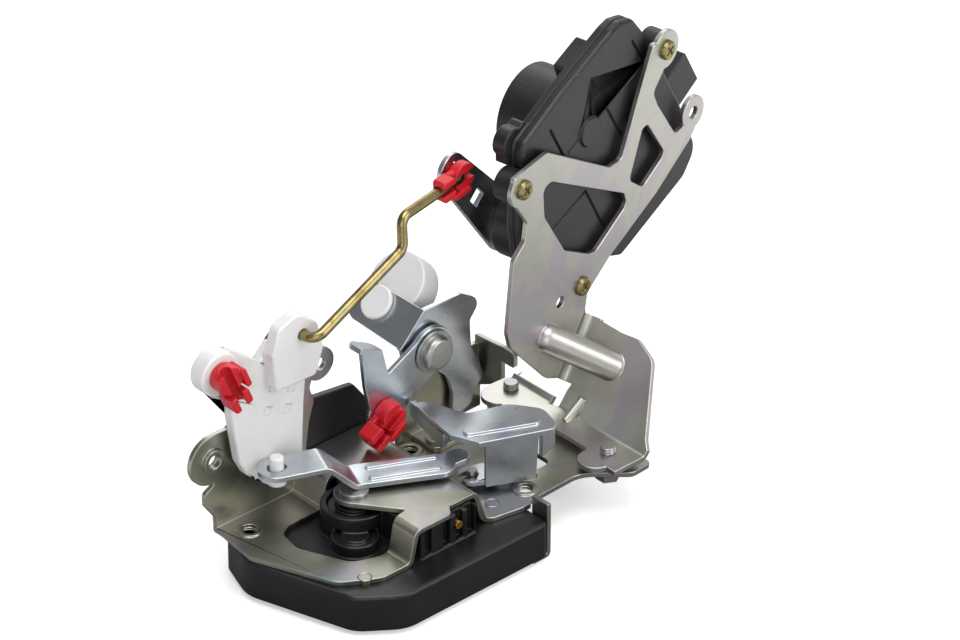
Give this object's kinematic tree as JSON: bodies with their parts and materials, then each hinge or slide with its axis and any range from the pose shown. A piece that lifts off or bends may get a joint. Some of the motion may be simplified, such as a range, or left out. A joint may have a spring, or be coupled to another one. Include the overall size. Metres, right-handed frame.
{
  "type": "door latch actuator",
  "caption": "Rotary-claw door latch with zinc plate, white lock lever, rod and handle levers, and a bracket-mounted black motor actuator driving the rod.",
  "frame": {"origin": "centre of the near door screw hole on the back plate's top face", "axes": "+Z out of the back plate, away from the door's end face; +Y along the side flange towards the actuator; +X from the flange across the plate"},
  "size_m": [0.0973, 0.2423, 0.1568],
  "materials": {
    "plate_zinc": "satin",
    "bracket_zinc": "satin",
    "lever_zinc": "glossy",
    "steel": "satin",
    "yellow_zinc": "glossy",
    "housing_black": "matte",
    "case_black": "satin",
    "white_acetal": "satin",
    "red_clip": "glossy",
    "rubber": "matte",
    "brass": "satin",
    "tinned": "satin",
    "gear_nylon": "satin"
  },
  "bodies": {
    "frame": {"face_plate": "plate_zinc", "latch_housing": "housing_black", "back_plate": "plate_zinc", "claw_pin": "steel", "pawl_pin": "steel", "bump_stop": "rubber", "claw_spring": "steel", "pawl_spring": "steel", "plate_rivets": "steel", "slot_pin": "brass", "lever_bracket": "plate_zinc", "bracket_rivets": "steel", "lever_rivet": "lever_zinc", "lever_spacers": "steel", "release_rivet": "steel", "lock_stud": "steel", "actuator_bracket": "bracket_zinc", "bracket_screws": "steel", "actuator_case": "case_black", "actuator_cover": "case_black", "actuator_screws": "yellow_zinc", "socket_terminals": "tinned", "motor": "steel"},
    "claw_body": {"claw": "steel"},
    "release_body": {"release_lever": "lever_zinc"},
    "pawl_body": {"pawl": "steel"},
    "lock_body": {"lock_lever": "white_acetal"},
    "link_body": {"lock_link": "lever_zinc"},
    "rod_body": {"lock_rod": "yellow_zinc", "clip_actuator": "red_clip"},
    "output_body": {"output_lever": "lever_zinc", "output_shaft": "steel", "sector_gear": "gear_nylon"},
    "pinion_body": {"motor_pinion": "brass"},
    "inside_body": {"inside_lever": "lever_zinc"},
    "outside_body": {"outside_lever": "lever_zinc"},
    "bush_body": {"outside_bush": "white_acetal"},
    "clip_lock_body": {"clip_lock": "red_clip"},
    "clip_inside_body": {"clip_inside": "red_clip"}
  },
  "joints": [
    {"name": "claw_turn", "type": "hinge", "parent": "frame", "child": "claw_body", "pos_m": [0.02, 0.0311, -0.0112], "axis": [0, 0, 1], "range_deg": [-65, 0], "stiffness_Nm_per_rad": 0.12, "springref_deg": 28.65},
    {"name": "release_turn", "type": "hinge", "parent": "frame", "child": "release_body", "pos_m": [0.035, 0.0866, 0.003], "axis": [0, 0, 1], "range_deg": [-8.6, 0], "stiffness_Nm_per_rad": 0.15, "springref_deg": 22.92},
    {"name": "pawl_turn", "type": "hinge", "parent": "frame", "child": "pawl_body", "pos_m": [0.0275, 0.0696, -0.0112], "axis": [0, 0, 1], "range_deg": [0, 12]},
    {"name": "lock_turn", "type": "hinge", "parent": "frame", "child": "lock_body", "pos_m": [-0.0045, 0.0172, 0.0459], "axis": [1, 0, 0], "range_deg": [0, 18]},
    {"name": "link_slide", "type": "slide", "parent": "frame", "child": "link_body", "axis": [0, 1, 0], "range_m": [0, 0.0075]},
    {"name": "rod_turn", "type": "hinge", "parent": "lock_body", "child": "rod_body", "pos_m": [-0.0007, 0.024, 0.0715], "axis": [1, 0, 0], "range_deg": [-23, 0]},
    {"name": "output_turn", "type": "hinge", "parent": "frame", "child": "output_body", "pos_m": [-0.01146, 0.1329, 0.0639], "axis": [0.9848, 0.1736, 0], "range_deg": [0, 10]},
    {"name": "pinion_turn", "type": "hinge", "parent": "frame", "child": "pinion_body", "pos_m": [0.00418, 0.15648, 0.09941], "axis": [0.9848, 0.1736, 0], "range_deg": [-58, 0]},
    {"name": "inside_turn", "type": "hinge", "parent": "frame", "child": "inside_body", "pos_m": [0.0008, 0.0845, 0.0385], "axis": [1, 0, 0], "range_deg": [-12, 0], "stiffness_Nm_per_rad": 0.06, "springref_deg": 28.65},
    {"name": "outside_turn", "type": "hinge", "parent": "frame", "child": "outside_body", "pos_m": [-0.0022, 0.0845, 0.0385], "axis": [1, 0, 0], "range_deg": [-8, 0], "stiffness_Nm_per_rad": 0.06, "springref_deg": 28.65},
    {"name": "bush_swivel", "type": "hinge", "parent": "outside_body", "child": "bush_body", "pos_m": [-0.0208, 0.07923, 0.04988], "axis": [0, -0.7193, 0.6947], "range_deg": [-15, 15]},
    {"name": "lock_clip_swivel", "type": "hinge", "parent": "lock_body", "child": "clip_lock_body", "pos_m": [-0.001, -0.0104, 0.0682], "axis": [1, 0, 0], "range_deg": [-20, 20]},
    {"name": "inside_clip_swivel", "type": "hinge", "parent": "inside_body", "child": "clip_inside_body", "pos_m": [0.0018, 0.0616, 0.023], "axis": [1, 0, 0], "range_deg": [-15, 0]}
  ],
  "couplings": [
    {"joint": "pawl_turn", "follows": "release_turn", "ratio": -1.3809},
    {"joint": "link_slide", "follows": "lock_turn", "m_per_rad": 0.02126},
    {"joint": "rod_turn", "follows": "lock_turn", "ratio": -1.2704},
    {"joint": "output_turn", "follows": "lock_turn", "ratio": 0.5503},
    {"joint": "pinion_turn", "follows": "lock_turn", "ratio": -3.2101}
  ]
}
